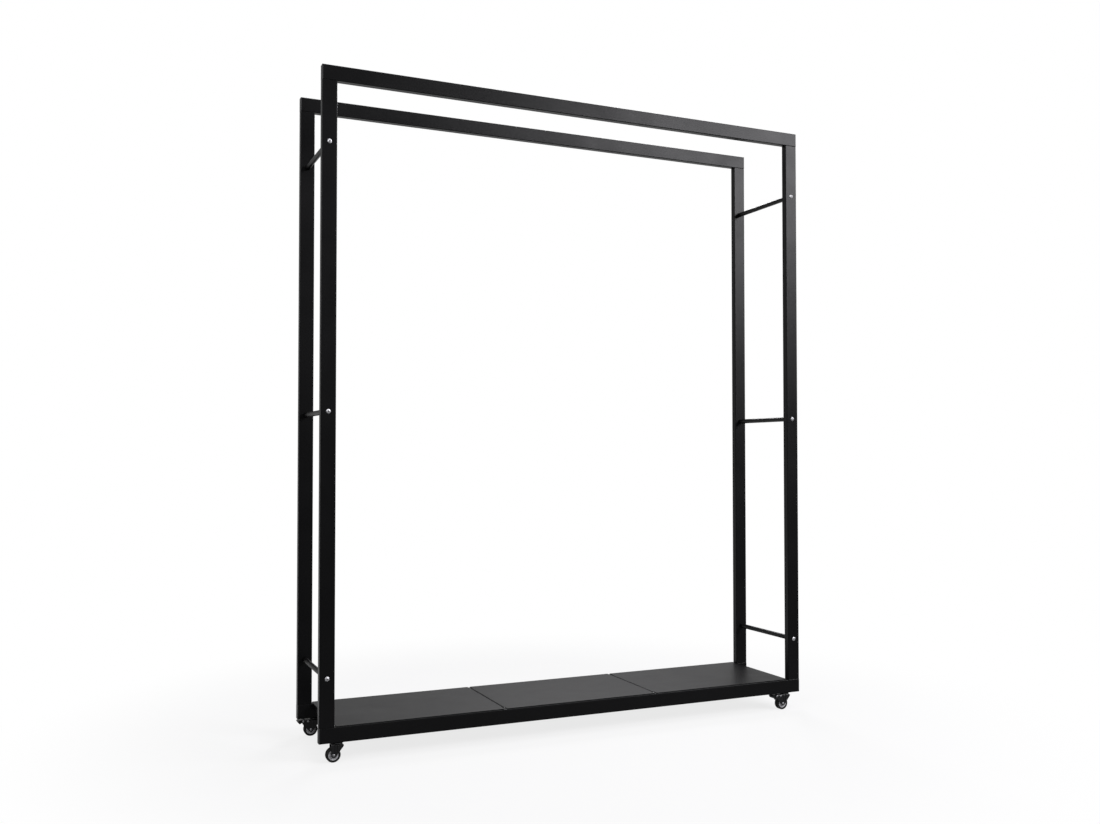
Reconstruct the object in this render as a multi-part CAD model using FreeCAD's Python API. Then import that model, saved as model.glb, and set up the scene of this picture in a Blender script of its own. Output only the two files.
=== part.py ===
import FreeCAD, Part
import math
import os

# A tall firewood rack on casters. A front and a rear frame of rectangular steel tube are held apart
# by round cross bars at the sides. Sheet panels on the bottom rails carry the logs, and four swivel
# casters, a diagonal pair of them with a foot brake, carry the frames.
# Millimetres. +X is to the right, +Y to the back and +Z up. The origin is on the ground, under the
# middle of the rack. All casters trail towards -X.

# Frames of rectangular tube
frame_width = 1500.0
frame_depth = 300.0
frame_height = 1750.0
tube_face = 40.0
tube_depth = 20.0
tube_wall = 1.5
tube_inner_corner = 0.6

# Caps in the rail ends and threaded plugs in the upright ends
cap_plate = 2.0
cap_rounding = 0.8
cap_plug_length = 10.0
cap_plug_wall = 1.6
plug_length = 30.0
plug_clearance = 0.1

# Round cross bars. The low one is measured up from the underside of the frames and the high one down
# from their top. The middle one is a little below half-way between those two.
bar_diameter = 14.0
bar_wall = 2.0
bar_low_rise = 165.0
bar_high_drop = 200.0
bar_middle_drop = 7.5
bar_insert_length = 22.0

# Button-head bolts with a hexagon socket
bolt_diameter = 6.0
bolt_bite = 16.0
bolt_head_diameter = 12.0
bolt_head_height = 3.3
bolt_head_rim = 0.6
bolt_socket_flats = 4.0
bolt_socket_depth = 1.9
bolt_hole_clearance = 0.2
bolt_access_clearance = 0.5
thread_clearance = 0.05

# Floor panels of folded sheet, and the countersunk screws that hold them down
floor_sheet = 2.0
floor_panel_count = 3
floor_panel_gap = 1.0
floor_edge_inset = 2.0
floor_flange = 12.0
floor_inner_bend = 1.5
floor_clearance = 1.0
screw_diameter = 4.0
screw_head_diameter = 7.6
screw_length = 10.0
screw_inset = 25.0
screw_socket_flats = 2.5
screw_socket_depth = 1.2

# Caster wheels
caster_inset = 50.0
wheel_diameter = 38.0
wheel_width = 16.0
wheel_trail = 12.0
tyre_thickness = 5.5
tyre_shoulder = 2.5
tyre_inner_edge = 0.4
rim_width = 13.0
rim_thickness = 3.8
web_thickness = 5.0
web_dish = 1.5
hub_diameter = 11.0
hub_side_gap = 0.3
axle_diameter = 5.0
axle_head_diameter = 7.0
axle_head_height = 1.6
running_clearance = 0.05

# Caster forks
fork_sheet = 2.0
fork_inner_bend = 1.5
fork_side_gap = 0.8
fork_leg_end = 6.5
fork_crown_corner = 4.5
wheel_to_crown = 7.0
rib_radius = 1.6
rib_offset = 4.0
rib_spacing = 6.7
rib_to_axle_head = 5.0

# Caster stems, each with its bearing flange, king pin and swivel washer
swivel_gap = 0.3
washer_thickness = 1.2
washer_margin = 2.0
flange_diameter = 28.0
flange_height = 1.5
flange_lip = 0.7
flange_seat_diameter = 24.0
king_pin_diameter = 8.0
king_pin_head_diameter = 12.0
king_pin_head_height = 1.8
stem_diameter = 8.0
stem_length = 22.0
stem_chamfer = 1.0
nut_plate_length = 26.0
nut_plate_height = 6.0

# Foot brakes, with a rivet in front of each that ties the legs of its fork together
brake_pin_diameter = 3.0
brake_pin_head_diameter = 5.6
brake_pin_head_height = 1.0
brake_pin_setback = 22.0
leg_rivet_setback = 8.5
brake_hub_radius = 4.0
brake_hub_gap = 1.1
brake_side_gap = 0.6
brake_shoe_angle = 148.0
brake_shoe_root = 3.5
brake_shoe_tip = 1.5
brake_shoe_gap = 0.4
pedal_length = 16.0
pedal_rise = 0.8
pedal_tip_radius = 1.5
pedal_belly_length = 9.5
pedal_belly_drop = 3.2
pedal_belly_radius = 2.6
pedal_width = 24.0
pedal_pad_length = 10.0
pedal_pad_corner = 3.0
pedal_ridge_count = 3
pedal_ridge_radius = 0.6

# Heights of the stack from the ground up to the frames
wheel_radius = wheel_diameter / 2
crown_underside = wheel_diameter + wheel_to_crown
crown_top = crown_underside + fork_sheet
washer_base = crown_top + swivel_gap
flange_base = washer_base + washer_thickness
frame_base = flange_base + flange_height
frame_top = frame_base + frame_height
floor_seat = frame_base + tube_face
top_rail_base = frame_top - tube_face

# Places across the rack
upright_x = (frame_width - tube_face) / 2
upright_inner_x = frame_width / 2 - tube_face
rail_y = (frame_depth - tube_depth) / 2
rail_inner_y = frame_depth / 2 - tube_depth
caster_x = frame_width / 2 - caster_inset
bar_high_rise = frame_height - bar_high_drop
bar_middle_rise = (bar_low_rise + bar_high_rise) / 2 - bar_middle_drop
bar_heights = {"low": bar_low_rise, "middle": bar_middle_rise, "high": bar_high_rise}
sides = {"left": -1, "right": 1}
ends = {"front": -1, "rear": 1}
braked_casters = ("front_right", "rear_left")

bore_inside = tube_face - 2 * tube_wall
bore_across = tube_depth - 2 * tube_wall
rail_length = frame_width - 2 * cap_plate
upright_length = frame_height - 2 * tube_face
bar_length = frame_depth - 2 * tube_depth
bolt_radius = bolt_diameter / 2
screw_radius = screw_diameter / 2

floor_length = 2 * (upright_inner_x - floor_clearance)
floor_panel_pitch = (floor_length + floor_panel_gap) / floor_panel_count
floor_panel_width = floor_panel_pitch - floor_panel_gap
floor_panel_depth = frame_depth - 2 * floor_edge_inset
floor_panel_middle = (floor_panel_count - 1) / 2
floor_panel_x = [floor_panel_pitch * (index - floor_panel_middle) for index in range(floor_panel_count)]
screw_offset = floor_panel_width / 2 - screw_inset
screw_x = [middle + side * screw_offset for middle in floor_panel_x for side in (-1, 1)]

# Places in a caster, in the plane of its wheel and measured from its swivel axis
axle_x = -wheel_trail
fork_inner_width = wheel_width + 2 * fork_side_gap
fork_outer_width = fork_inner_width + 2 * fork_sheet
crown_corner_z = crown_top - fork_crown_corner
crown_front_x = flange_diameter / 2 - fork_crown_corner
crown_rear_x = axle_x - fork_leg_end + fork_crown_corner
brake_pin_x = axle_x - brake_pin_setback
brake_pin_z = crown_corner_z
leg_rivet_x = axle_x - leg_rivet_setback
rib_foot_z = wheel_radius + axle_head_diameter / 2 + rib_to_axle_head

ORIGIN = FreeCAD.Vector(0, 0, 0)
ALONG_X = FreeCAD.Vector(1, 0, 0)
ALONG_Y = FreeCAD.Vector(0, 1, 0)
UP = FreeCAD.Vector(0, 0, 1)


def in_plan(a, b):
    """Point at (a, b) in the ground plane."""
    return FreeCAD.Vector(a, b, 0)


def in_side(a, b):
    """Point at (a, b) in the upright plane seen from the front."""
    return FreeCAD.Vector(a, 0, b)


def tangent_angle(first, second):
    """Direction of the outward normal of the line that touches two circles on their right side."""
    span = math.hypot(second[0] - first[0], second[1] - first[1])
    heading = math.atan2(second[1] - first[1], second[0] - first[0])
    lean = math.asin((first[2] - second[2]) / span)
    return heading - math.pi / 2 + lean


def on_circle(circle, angle, place):
    """Point of a circle (a, b, radius) in the direction of an angle."""
    a, b, radius = circle
    return place(a + radius * math.cos(angle), b + radius * math.sin(angle))


def belt(circles, place):
    """Face inside a belt pulled tight round circles (a, b, radius), which are listed anticlockwise."""
    count = len(circles)
    normals = [tangent_angle(circles[index], circles[(index + 1) % count]) for index in range(count)]
    edges = []
    for index, circle in enumerate(circles):
        arrival = normals[index - 1]
        turn = (normals[index] - arrival) % (2 * math.pi)
        start, middle, end = [on_circle(circle, arrival + turn * part, place) for part in (0, 0.5, 1)]
        following = on_circle(circles[(index + 1) % count], normals[index], place)
        edges.append(Part.Arc(start, middle, end).toShape())
        edges.append(Part.LineSegment(end, following).toShape())
    return Part.Face(Part.Wire(edges))


def outline(start, steps, place):
    """Closed face drawn from start: a step is an end point, or a middle and an end point of an arc."""
    edges = []
    here = place(*start)
    for step in steps + [start]:
        if isinstance(step[0], tuple):
            middle, end = [place(*point) for point in step]
            edges.append(Part.Arc(here, middle, end).toShape())
        else:
            end = place(*step)
            edges.append(Part.LineSegment(here, end).toShape())
        here = end
    return Part.Face(Part.Wire(edges))


def spun(face):
    """Solid of a face in the side plane turned round the upright axis."""
    return face.revolve(ORIGIN, UP, 360)


def across(shape):
    """Shape built along +Z laid along +Y."""
    return shape.rotated(ORIGIN, ALONG_X, -90)


def dome_middle(radius, height):
    """Radius and height of the half-way point on a spherical cap's side, measured from its rim."""
    ball = (radius ** 2 + height ** 2) / (2 * height)
    half_angle = math.asin(radius / ball) / 2
    return ball * math.sin(half_angle), height - ball * (1 - math.cos(half_angle))


def rounded_rectangle(width, depth, radius):
    """Face in plan, centred on the origin."""
    a = width / 2 - radius
    b = depth / 2 - radius
    return belt([(-a, -b, radius), (a, -b, radius), (a, b, radius), (-a, b, radius)], in_plan)


def hexagon_prism(flats, height):
    """Hexagonal prism standing on the origin."""
    corner = flats / math.sqrt(3)
    corners = [on_circle((0, 0, corner), math.pi / 3 * index, in_plan) for index in range(7)]
    return Part.Face(Part.makePolygon(corners)).extrude(UP * height)


def channel(width, height, sheet, inner_bend, length):
    """Folded sheet channel along Y, open downwards, with the middle of its top face at the origin."""
    bend = inner_bend + sheet
    edge = width / 2
    fold = edge - bend
    corner = math.sqrt(0.5)
    outer = bend * corner
    inner = inner_bend * corner
    steps = [
        (-edge, -bend),
        ((-fold - outer, outer - bend), (-fold, 0)),
        (fold, 0),
        ((fold + outer, outer - bend), (edge, -bend)),
        (edge, -height),
        (edge - sheet, -height),
        (edge - sheet, -bend),
        ((fold + inner, inner - bend), (fold, -sheet)),
        (-fold, -sheet),
        ((-fold - inner, inner - bend), (sheet - edge, -bend)),
        (sheet - edge, -height),
    ]
    section = outline((-edge, -height), steps, in_side)
    return section.extrude(ALONG_Y * length).translated(ALONG_Y * (-length / 2))


def tube(length):
    """Hollow rectangular tube standing on the origin, with its wide face across X."""
    outside = rounded_rectangle(tube_face, tube_depth, tube_inner_corner + tube_wall)
    inside = rounded_rectangle(bore_inside, bore_across, tube_inner_corner)
    return outside.extrude(UP * length).cut(inside.extrude(UP * length))


def upright_hole(x, radius, base, height):
    """Round cutter along Z on the line through (x, 0)."""
    return Part.makeCylinder(radius, height, FreeCAD.Vector(x, 0, base), UP)


def upright():
    """Upright standing on the origin, drilled through for the bolts of the cross bars."""
    body = tube(upright_length)
    hole_radius = bolt_radius + bolt_hole_clearance
    for height in bar_heights.values():
        start = FreeCAD.Vector(0, -tube_depth, height - tube_face)
        body = body.cut(Part.makeCylinder(hole_radius, 2 * tube_depth, start, ALONG_Y))
    return body


def rail():
    """Rail along X with its underside at the origin, drilled through for the corner bolts."""
    lying = tube(rail_length).rotated(ORIGIN, ALONG_Y, 90)
    body = lying.translated(FreeCAD.Vector(-rail_length / 2, 0, tube_face / 2))
    for side in sides.values():
        body = body.cut(upright_hole(side * upright_x, bolt_radius + bolt_hole_clearance, 0, tube_face))
    return body


def bottom_rail():
    """Rail that is also drilled below for the corner bolts' heads and caster stems, and above for screws."""
    body = rail()
    head_radius = bolt_head_diameter / 2 + bolt_access_clearance
    stem_radius = stem_diameter / 2 + bolt_hole_clearance
    for side in sides.values():
        body = body.cut(upright_hole(side * upright_x, head_radius, 0, tube_wall))
        body = body.cut(upright_hole(side * caster_x, stem_radius, 0, tube_wall))
    for x in screw_x:
        body = body.cut(upright_hole(x, screw_radius + thread_clearance, tube_face - tube_wall, tube_wall))
    return body


def rail_end_cap():
    """Cap for the +X end of a rail, with the outer face of its plate at the origin."""
    corner = tube_inner_corner + tube_wall
    plate = rounded_rectangle(tube_face, tube_depth, corner).extrude(UP * -cap_plate)
    rim = [edge for edge in plate.Edges if edge.BoundBox.ZMin > -cap_plate / 2]
    plate = plate.makeFillet(cap_rounding, rim)
    plug_face = bore_inside - 2 * plug_clearance
    plug_across = bore_across - 2 * plug_clearance
    reach = UP * -(cap_plate + cap_plug_length)
    plug = rounded_rectangle(plug_face, plug_across, tube_inner_corner).extrude(reach)
    hollow_face = plug_face - 2 * cap_plug_wall
    hollow_across = plug_across - 2 * cap_plug_wall
    hollow = rounded_rectangle(hollow_face, hollow_across, tube_inner_corner).extrude(reach)
    sleeve = plug.cut(hollow).cut(plate)
    return plate.fuse(sleeve).removeSplitter().rotated(ORIGIN, ALONG_Y, 90)


def upright_plug():
    """Threaded plug for the top end of an upright, with its end face at the origin."""
    face = bore_inside - 2 * plug_clearance
    depth = bore_across - 2 * plug_clearance
    block = rounded_rectangle(face, depth, tube_inner_corner).extrude(UP * -plug_length)
    return block.cut(upright_hole(0, bolt_radius + thread_clearance, -plug_length, plug_length))


def cross_bar():
    """Round tube along Y, centred on the origin."""
    radius = bar_diameter / 2
    start = FreeCAD.Vector(0, -bar_length / 2, 0)
    outside = Part.makeCylinder(radius, bar_length, start, ALONG_Y)
    return outside.cut(Part.makeCylinder(radius - bar_wall, bar_length, start, ALONG_Y))


def bar_insert():
    """Threaded insert along Y for a bar's front end, with its outer face at the origin."""
    radius = bar_diameter / 2 - bar_wall - thread_clearance
    body = Part.makeCylinder(radius, bar_insert_length, ORIGIN, ALONG_Y)
    bore = Part.makeCylinder(bolt_radius + thread_clearance, bar_insert_length, ORIGIN, ALONG_Y)
    return body.cut(bore)


def button_bolt(grip):
    """Bolt along Z with its head's seat at the origin, through a grip and into its thread below."""
    head_radius = bolt_head_diameter / 2
    crown_radius, crown_height = dome_middle(head_radius, bolt_head_height - bolt_head_rim)
    tip = -grip - bolt_bite
    steps = [
        (bolt_radius, tip),
        (bolt_radius, 0),
        (head_radius, 0),
        (head_radius, bolt_head_rim),
        ((crown_radius, bolt_head_rim + crown_height), (0, bolt_head_height)),
    ]
    body = spun(outline((0, tip), steps, in_side))
    socket = hexagon_prism(bolt_socket_flats, bolt_socket_depth)
    return body.cut(socket.translated(UP * (bolt_head_height - bolt_socket_depth)))


def countersunk(clearance):
    """Countersunk screw along Z with its top at the origin, or its hole when a clearance is given."""
    head = screw_head_diameter / 2 + clearance
    shank = screw_radius + clearance
    steps = [(shank, -screw_length), (shank, shank - head), (head, 0), (0, 0)]
    return spun(outline((0, -screw_length), steps, in_side))


def floor_screw():
    """Countersunk screw with a hexagon socket."""
    socket = hexagon_prism(screw_socket_flats, screw_socket_depth)
    return countersunk(0).cut(socket.translated(UP * -screw_socket_depth))


def floor_panel():
    """Panel with its end edges folded down between the rails and the middle of its top at the origin."""
    panel = channel(floor_panel_width, floor_flange, floor_sheet, floor_inner_bend, floor_panel_depth)
    relief_x = floor_inner_bend + floor_sheet
    relief_y = (floor_panel_depth / 2) - rail_inner_y + floor_clearance
    for side_x in (-1, 1):
        for side_y in (-1, 1):
            corner = FreeCAD.Vector(-relief_x / 2, -relief_y / 2, -floor_flange)
            middle_x = side_x * (floor_panel_width - relief_x) / 2
            middle_y = side_y * (floor_panel_depth - relief_y) / 2
            relief = Part.makeBox(relief_x, relief_y, floor_flange, corner)
            panel = panel.cut(relief.translated(FreeCAD.Vector(middle_x, middle_y, 0)))
            screw_place = FreeCAD.Vector(side_x * screw_offset, side_y * rail_y, 0)
            panel = panel.cut(countersunk(bolt_hole_clearance).translated(screw_place))
    return panel


def rivet(diameter, grip, head_diameter, head_height):
    """Pin along Y with a domed head at each end of its grip, centred on the origin."""
    shank = diameter / 2
    head = head_diameter / 2
    middle_radius, middle_height = dome_middle(head, head_height)
    end = grip / 2
    steps = [
        ((middle_radius, -end - middle_height), (head, -end)),
        (shank, -end),
        (shank, end),
        (head, end),
        ((middle_radius, end + middle_height), (0, end + head_height)),
    ]
    return across(spun(outline((0, -end - head_height), steps, in_side)))


def nut_plate():
    """Captive nut plate that lies in a bottom rail, with its underside at the origin."""
    depth = bore_across - 2 * (plug_clearance + tube_inner_corner)
    plate = rounded_rectangle(nut_plate_length, depth, tube_inner_corner).extrude(UP * nut_plate_height)
    return plate.cut(upright_hole(0, stem_diameter / 2 + thread_clearance, 0, nut_plate_height))


def caster_stem():
    """Threaded stem with the bearing flange below the rail and the king pin that the fork turns on."""
    stem = stem_diameter / 2
    flange = flange_diameter / 2
    seat = flange_seat_diameter / 2
    pin = king_pin_diameter / 2
    pin_head = king_pin_head_diameter / 2
    stem_top = frame_base + stem_length
    lip_top = flange_base + flange_lip
    dome_radius, dome_height = dome_middle(flange - seat, frame_base - lip_top)
    shoulder = (seat + dome_radius, lip_top + dome_height)
    head_top = crown_underside - swivel_gap
    steps = [
        (pin_head, head_top - king_pin_head_height),
        (pin_head, head_top),
        (pin, head_top),
        (pin, flange_base),
        (flange, flange_base),
        (flange, lip_top),
        (shoulder, (seat, frame_base)),
        (stem, frame_base),
        (stem, stem_top - stem_chamfer),
        (stem - stem_chamfer, stem_top),
        (0, stem_top),
    ]
    return spun(outline((0, head_top - king_pin_head_height), steps, in_side))


def swivel_washer():
    """Washer between the bearing flange and the fork's crown."""
    radius = flange_diameter / 2 - washer_margin
    ring = upright_hole(0, radius, washer_base, washer_thickness)
    return ring.cut(upright_hole(0, king_pin_diameter / 2 + thread_clearance, washer_base, washer_thickness))


def fork_rib(x, side):
    """Round-ended rib pressed out of one leg of a fork, with the seam of its round inside the sheet."""
    face_y = side * fork_outer_width / 2
    foot = FreeCAD.Vector(x, face_y, rib_foot_z)
    head = FreeCAD.Vector(x, face_y, crown_top - fork_inner_bend - fork_sheet)
    rib = Part.makeCylinder(rib_radius, head.z - foot.z, foot, UP)
    for end in (foot, head):
        rib = rib.fuse(Part.makeSphere(rib_radius, end))
    return rib.rotated(foot, UP, -90 * side)


def pin_hole(x, z, diameter):
    """Cutter along Y right through a fork or a brake lever, with running clearance round a pin."""
    reach = max(fork_outer_width, pedal_width)
    start = FreeCAD.Vector(x, -reach, z)
    return Part.makeCylinder(diameter / 2 + running_clearance, 2 * reach, start, ALONG_Y)


def caster_fork(with_brake):
    """Pressed fork: a channel trimmed to its side outline, ribbed, and drilled for its pins."""
    rear_x = brake_pin_x if with_brake else crown_rear_x
    side_circles = [
        (axle_x, wheel_radius, fork_leg_end),
        (crown_front_x, crown_corner_z, fork_crown_corner),
        (rear_x, crown_corner_z, fork_crown_corner),
    ]
    side = belt(side_circles, in_side).extrude(ALONG_Y * fork_outer_width)
    side = side.translated(ALONG_Y * (-fork_outer_width / 2))
    reach = 2 * (flange_diameter - rear_x)
    folded = channel(fork_outer_width, crown_top, fork_sheet, fork_inner_bend, reach)
    folded = folded.rotated(ORIGIN, UP, 90).translated(UP * crown_top)
    body = folded.common(side)
    for leg in (-1, 1):
        for rib_x in (axle_x + rib_offset, axle_x + rib_offset + rib_spacing):
            body = body.fuse(fork_rib(rib_x, leg))
    body = body.cut(pin_hole(axle_x, wheel_radius, axle_diameter))
    body = body.cut(upright_hole(0, king_pin_diameter / 2 + running_clearance, 0, frame_base))
    if with_brake:
        slot_end = brake_pin_x + brake_hub_radius + brake_hub_gap
        corner = FreeCAD.Vector(slot_end - reach, -fork_inner_width / 2, 0)
        body = body.cut(Part.makeBox(reach, fork_inner_width, frame_base, corner))
        for pin_x in (brake_pin_x, leg_rivet_x):
            body = body.cut(pin_hole(pin_x, brake_pin_z, brake_pin_diameter))
    return body.removeSplitter()


def placed_on_axle(shape):
    """Wheel part spun round Z, laid on the axle of a caster."""
    return across(shape).translated(FreeCAD.Vector(axle_x, 0, wheel_radius))


def wheel_tyre():
    """Soft tyre with rounded shoulders."""
    seat = wheel_radius - tyre_thickness
    inner = (seat + tyre_inner_edge, wheel_width / 2 - tyre_inner_edge, tyre_inner_edge)
    outer = (wheel_radius - tyre_shoulder, wheel_width / 2 - tyre_shoulder, tyre_shoulder)
    circles = [
        (inner[0], -inner[1], inner[2]),
        (outer[0], -outer[1], outer[2]),
        outer,
        inner,
    ]
    return placed_on_axle(spun(belt(circles, in_side)))


def wheel_core():
    """Moulded core: a hub, a dished web and the rim that the tyre sits on."""
    bore = axle_diameter / 2 + running_clearance
    hub = hub_diameter / 2
    rim = wheel_radius - tyre_thickness - thread_clearance
    rim_inside = rim - rim_thickness
    hub_half = fork_inner_width / 2 - hub_side_gap
    rim_half = rim_width / 2
    web_half = web_thickness / 2
    dish_half = web_half + web_dish
    upper = [
        (rim, rim_half),
        (rim_inside, rim_half),
        (rim_inside, web_half),
        (hub, dish_half),
        (hub, hub_half),
        (bore, hub_half),
    ]
    lower = [(radius, -height) for radius, height in reversed(upper)]
    return placed_on_axle(spun(outline(lower[0], lower[1:] + upper, in_side)))


def wheel_axle():
    """Riveted axle through both legs of a fork."""
    pin = rivet(axle_diameter, fork_outer_width, axle_head_diameter, axle_head_height)
    return pin.translated(FreeCAD.Vector(axle_x, 0, wheel_radius))


def brake_pin(x):
    """Riveted pin through the legs of a braked fork."""
    pin = rivet(brake_pin_diameter, fork_outer_width, brake_pin_head_diameter, brake_pin_head_height)
    return pin.translated(FreeCAD.Vector(x, 0, brake_pin_z))


def lever_slab(circles, width):
    """Belt outline in the wheel's plane made into a slab centred on that plane."""
    return belt(circles, in_side).extrude(ALONG_Y * width).translated(ALONG_Y * (-width / 2))


def brake_pedal():
    """Brake lever, pressed down: a hub, a shoe beside the tread and a ridged foot pad with a belly."""
    arm_width = fork_inner_width - 2 * brake_side_gap
    tip_x = brake_pin_x - pedal_length + pedal_tip_radius
    tip = (tip_x, brake_pin_z + pedal_rise, pedal_tip_radius)
    hub = (brake_pin_x, brake_pin_z, brake_hub_radius)
    belly = (brake_pin_x - pedal_belly_length, brake_pin_z - pedal_belly_drop, pedal_belly_radius)
    shoe_reach = wheel_radius + brake_shoe_gap + brake_shoe_tip
    shoe_angle = math.radians(brake_shoe_angle)
    shoe_x = axle_x + shoe_reach * math.cos(shoe_angle)
    shoe_z = wheel_radius + shoe_reach * math.sin(shoe_angle)
    shoe_root = (brake_pin_x, brake_pin_z, brake_shoe_root)
    arm = lever_slab([belly, hub, tip], arm_width)
    shoe = lever_slab([shoe_root, (shoe_x, shoe_z, brake_shoe_tip)], arm_width)
    pad_plan = rounded_rectangle(pedal_pad_length, pedal_width, pedal_pad_corner).extrude(UP * frame_base)
    pad_end = brake_pin_x - pedal_length
    pad_plan = pad_plan.translated(ALONG_X * (pad_end + pedal_pad_length / 2))
    pad = lever_slab([belly, hub, tip], pedal_width).common(pad_plan)
    body = arm.fuse(shoe).fuse(pad)
    top_angle = tangent_angle(hub, tip)
    ridge_pitch = pedal_pad_length / (pedal_ridge_count + 1)
    ridge_length = pedal_width - 2 * pedal_pad_corner
    for index in range(pedal_ridge_count):
        share = (pedal_length - ridge_pitch * (index + 1)) / (pedal_length - pedal_tip_radius)
        circle = [start + (end - start) * share for start, end in zip(hub, tip)]
        start = on_circle(circle, top_angle, in_side) - ALONG_Y * (ridge_length / 2)
        body = body.fuse(Part.makeCylinder(pedal_ridge_radius, ridge_length, start, ALONG_Y))
    body = body.cut(pin_hole(brake_pin_x, brake_pin_z, brake_pin_diameter))
    return body.removeSplitter()


def at(shape, x, y, z):
    """Copy of a shape moved to a place."""
    return shape.translated(FreeCAD.Vector(x, y, z))


def turned(shape, axis):
    """Copy of a shape turned half round about an axis through the origin."""
    return shape.rotated(ORIGIN, axis, 180)


def save(name, *shapes):
    """Write one node, which holds one solid or a group of like solids."""
    node = shapes[0] if len(shapes) == 1 else Part.makeCompound(list(shapes))
    node.exportStep("parts/" + name + ".step")


def save_frames():
    """Uprights, rails, the pieces in their ends and the corner bolts, whose lower heads are in the rails."""
    plug = upright_plug()
    top_bolt = button_bolt(tube_face)
    bottom_bolt = turned(button_bolt(tube_wall), ALONG_X)
    cap = rail_end_cap()
    plugs = []
    caps = []
    top_bolts = []
    bottom_bolts = []
    for end, front_back in ends.items():
        y = front_back * rail_y
        save(end + "_top_rail", at(rail(), 0, y, top_rail_base))
        save(end + "_bottom_rail", at(bottom_rail(), 0, y, frame_base))
        for side, left_right in sides.items():
            x = left_right * upright_x
            save(end + "_" + side + "_upright", at(upright(), x, y, floor_seat))
            plugs.append(at(plug, x, y, top_rail_base))
            plugs.append(at(turned(plug, ALONG_X), x, y, floor_seat))
            top_bolts.append(at(top_bolt, x, y, frame_top))
            bottom_bolts.append(at(bottom_bolt, x, y, floor_seat - tube_wall))
            facing = cap if left_right > 0 else turned(cap, UP)
            for rail_base in (frame_base, top_rail_base):
                caps.append(at(facing, left_right * frame_width / 2, y, rail_base + tube_face / 2))
    save("upright_end_plugs", *plugs)
    save("rail_end_caps", *caps)
    save("top_corner_bolts", *top_bolts)
    save("bottom_corner_bolts", *bottom_bolts)


def save_bars():
    """Cross bars, their threaded inserts and the bolts through the uprights."""
    insert = bar_insert()
    bolt = button_bolt(tube_depth).rotated(ORIGIN, ALONG_X, 90)
    inserts = []
    bolts = {end: [] for end in ends}
    for side, left_right in sides.items():
        x = left_right * upright_x
        for level, height in bar_heights.items():
            z = frame_base + height
            save(side + "_" + level + "_bar", at(cross_bar(), x, 0, z))
            for end, front_back in ends.items():
                facing = insert if front_back < 0 else turned(insert, UP)
                inserts.append(at(facing, x, front_back * rail_inner_y, z))
                facing = bolt if front_back < 0 else turned(bolt, UP)
                bolts[end].append(at(facing, x, front_back * frame_depth / 2, z))
    save("bar_end_inserts", *inserts)
    for end, group in bolts.items():
        save(end + "_bar_bolts", *group)


def save_floor():
    """Floor panels side by side on the bottom rails, with their screws."""
    top = floor_seat + floor_sheet
    screw = floor_screw()
    for index, x in enumerate(floor_panel_x):
        save("floor_panel_" + str(index + 1), at(floor_panel(), x, 0, top))
    screws = [at(screw, x, front_back * rail_y, top) for x in screw_x for front_back in ends.values()]
    save("floor_screws", *screws)


def save_casters():
    """Nut plates in the bottom rails and the pieces of each caster below them."""
    nuts = []
    for end, front_back in ends.items():
        for side, left_right in sides.items():
            name = end + "_" + side
            with_brake = name in braked_casters
            pieces = {
                "caster_stem": caster_stem(),
                "swivel_washer": swivel_washer(),
                "caster_fork": caster_fork(with_brake),
                "wheel_axle": wheel_axle(),
                "wheel_core": wheel_core(),
                "wheel_tyre": wheel_tyre(),
            }
            if with_brake:
                pieces["brake_pin"] = brake_pin(brake_pin_x)
                pieces["leg_rivet"] = brake_pin(leg_rivet_x)
                pieces["brake_pedal"] = brake_pedal()
            x = left_right * caster_x
            y = front_back * rail_y
            nuts.append(at(nut_plate(), x, y, frame_base + tube_wall))
            for piece, shape in pieces.items():
                save(name + "_" + piece, at(shape, x, y, 0))
    save("caster_nut_plates", *nuts)


os.makedirs("parts", exist_ok=True)
save_frames()
save_bars()
save_floor()
save_casters()
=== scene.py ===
import math

import bmesh
import bpy
from mathutils import Matrix, Vector


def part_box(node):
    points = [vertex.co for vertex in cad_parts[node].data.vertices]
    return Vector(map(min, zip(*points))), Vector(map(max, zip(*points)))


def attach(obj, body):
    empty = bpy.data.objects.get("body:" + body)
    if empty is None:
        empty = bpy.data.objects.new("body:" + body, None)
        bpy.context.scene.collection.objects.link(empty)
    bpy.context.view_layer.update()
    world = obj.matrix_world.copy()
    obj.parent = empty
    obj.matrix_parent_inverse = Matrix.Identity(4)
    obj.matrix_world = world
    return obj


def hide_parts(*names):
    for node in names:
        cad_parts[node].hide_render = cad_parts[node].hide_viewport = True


bl_info = {
    "name": "Firewood rack",
    "version": (1, 0, 0),
    "blender": (4, 5, 0),
    "location": "View3D > Sidebar > Rack",
    "description": "Dresses the firewood rack: tube frames, cross bars, bolts, sheet floor and casters",
    "category": "Object",
}

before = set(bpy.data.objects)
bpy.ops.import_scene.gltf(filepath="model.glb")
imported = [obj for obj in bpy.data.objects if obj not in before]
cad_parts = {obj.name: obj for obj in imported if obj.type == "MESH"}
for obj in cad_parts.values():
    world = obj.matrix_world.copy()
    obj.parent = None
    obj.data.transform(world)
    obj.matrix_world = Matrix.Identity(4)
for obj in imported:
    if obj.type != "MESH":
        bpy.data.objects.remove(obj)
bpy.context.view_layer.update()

ENDS = ("front", "rear")
SIDES = ("left", "right")
LEVELS = ("low", "middle", "high")
CORNERS = tuple(end + "_" + side for end in ENDS for side in SIDES)
BRAKED = ("front_right", "rear_left")
PANELS = ("floor_panel_1", "floor_panel_2", "floor_panel_3")

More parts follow.
